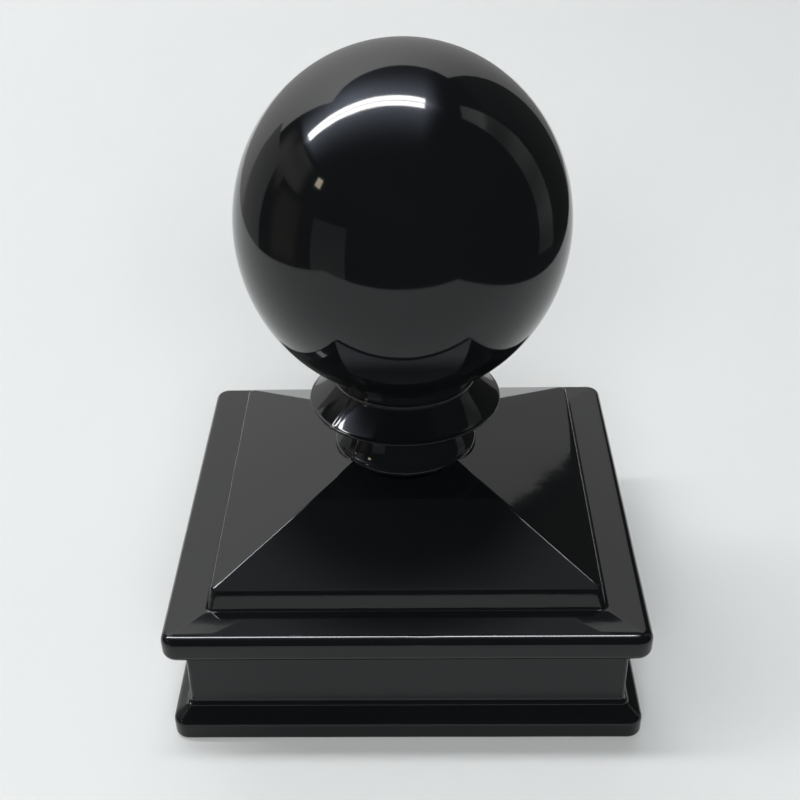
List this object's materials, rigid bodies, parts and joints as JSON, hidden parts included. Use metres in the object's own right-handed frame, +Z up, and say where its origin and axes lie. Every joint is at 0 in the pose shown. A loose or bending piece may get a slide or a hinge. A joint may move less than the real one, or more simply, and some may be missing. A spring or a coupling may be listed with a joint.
{
  "type": "ball post cap",
  "caption": "Square gloss black post cap with a stepped ledge, a low four-sided roof and a ball finial on a flanged collar.",
  "frame": {"origin": "centre of the cap's square footprint, on the plane that the bottom rim stands on", "axes": "+Z up along the post and through the ball; +X and +Y along the sides of the square cap"},
  "size_m": [0.0794, 0.0794, 0.1041],
  "materials": {
    "gloss_black_coat": "high gloss powder coat on cast aluminium",
    "bush_brass": "machined",
    "seal_rubber": "matte",
    "zinc_steel": "bright zinc plate"
  },
  "bodies": {
    "root": {"post_cap": "gloss_black_coat", "finial_collar": "gloss_black_coat", "finial_ball": "gloss_black_coat", "ball_bush": "bush_brass", "seal_ring": "seal_rubber", "tie_bolt": "zinc_steel", "flat_washer": "zinc_steel", "spring_washer": "zinc_steel"}
  },
  "joints": []
}
